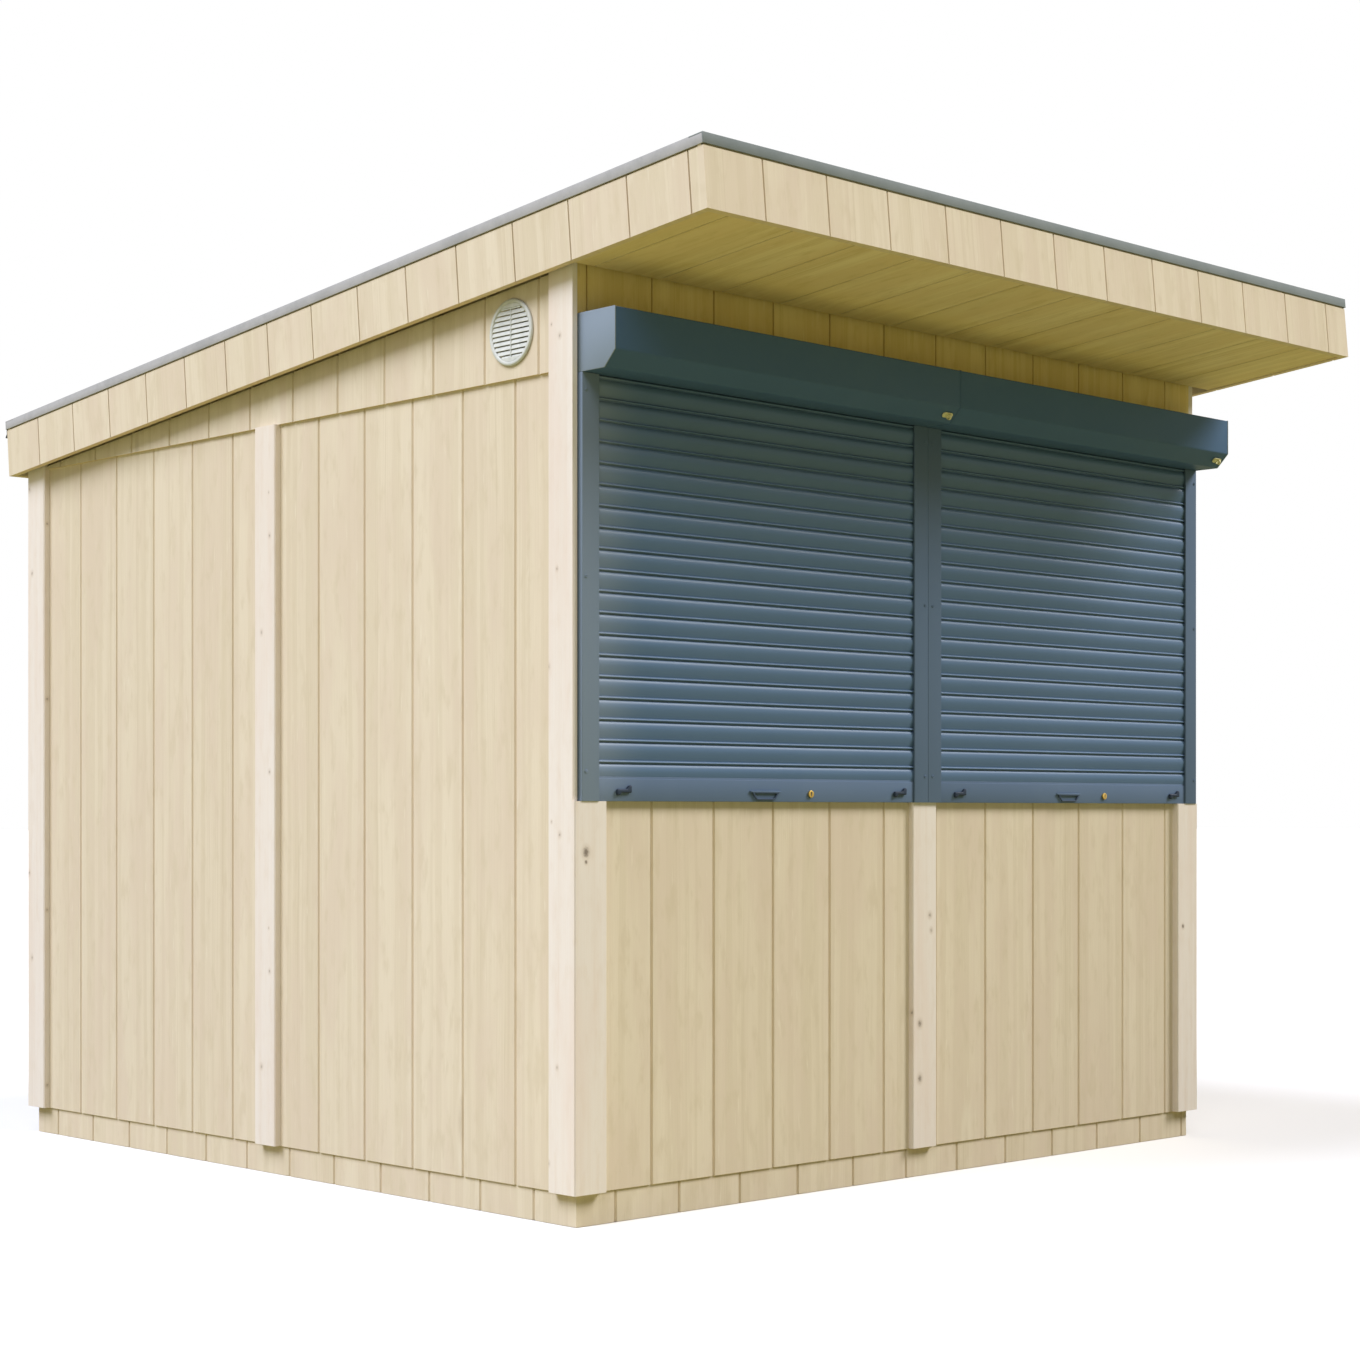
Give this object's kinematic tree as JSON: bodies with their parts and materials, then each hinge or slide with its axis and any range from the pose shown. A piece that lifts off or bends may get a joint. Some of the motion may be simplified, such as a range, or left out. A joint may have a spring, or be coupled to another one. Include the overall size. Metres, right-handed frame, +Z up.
{
  "type": "wooden market hut",
  "caption": "Boarded timber market hut with a pent roof, a front canopy, closed roller shutters over a counter wall and louvred gable vents.",
  "frame": {"origin": "on the ground under the middle of the cabin, on the sole of the middle floor bearer", "axes": "+Z up, +X along the front from left to right as seen from outside, the shutters face -Y"},
  "size_m": [2.52, 3.1053, 2.433],
  "materials": {
    "brass": "satin",
    "cover_boards": "planed untreated spruce",
    "dark_steel": "dark satin",
    "edge_metal": "folded edge trim, satin",
    "floor_boards": "plain boards",
    "roof_skin": "matt roofing membrane",
    "rubber_lip": "matt",
    "shutter_metal": "satin powder coat, anthracite",
    "shutter_slats": "satin coil coat, anthracite",
    "vent_plastic": "white",
    "wall_boards": "untreated grooved spruce boards"
  },
  "bodies": {
    "root": {"canopy_soffit": "wall_boards", "crank_eyes": "brass", "floor_bearers": "floor_boards", "floor_deck": "floor_boards", "front_corner_boards": "cover_boards", "front_edge_trim": "edge_metal", "front_fascia": "wall_boards", "front_mid_board": "cover_boards", "front_wall_header": "wall_boards", "front_wall_lower_left": "wall_boards", "front_wall_lower_right": "wall_boards", "hatch_jambs": "wall_boards", "left_bottom_bar": "shutter_metal", "left_corner_boards": "cover_boards", "left_edge_trim": "edge_metal", "left_fascia": "wall_boards", "left_gable": "wall_boards", "left_guide_rails": "shutter_metal", "left_mid_board": "cover_boards", "left_shutter_box": "shutter_metal", "left_shutter_curtain": "shutter_slats", "left_vent": "vent_plastic", "left_wall_front": "wall_boards", "left_wall_rear": "wall_boards", "lock_cylinders": "brass", "plinth_front": "wall_boards", "plinth_left": "wall_boards", "plinth_rear": "wall_boards", "plinth_right": "wall_boards", "pull_handles": "dark_steel", "rear_corner_boards": "cover_boards", "rear_drip_lip": "rubber_lip", "rear_edge_trim": "edge_metal", "rear_fascia": "wall_boards", "rear_mid_board": "cover_boards", "rear_wall_left": "wall_boards", "rear_wall_right": "wall_boards", "right_bottom_bar": "shutter_metal", "right_corner_boards": "cover_boards", "right_edge_trim": "edge_metal", "right_fascia": "wall_boards", "right_gable": "wall_boards", "right_guide_rails": "shutter_metal", "right_mid_board": "cover_boards", "right_shutter_box": "shutter_metal", "right_shutter_curtain": "shutter_slats", "right_vent": "vent_plastic", "right_wall_front": "wall_boards", "right_wall_rear": "wall_boards", "roof_deck": "wall_boards", "roof_skin": "roof_skin", "slide_bolts": "dark_steel"}
  },
  "joints": []
}
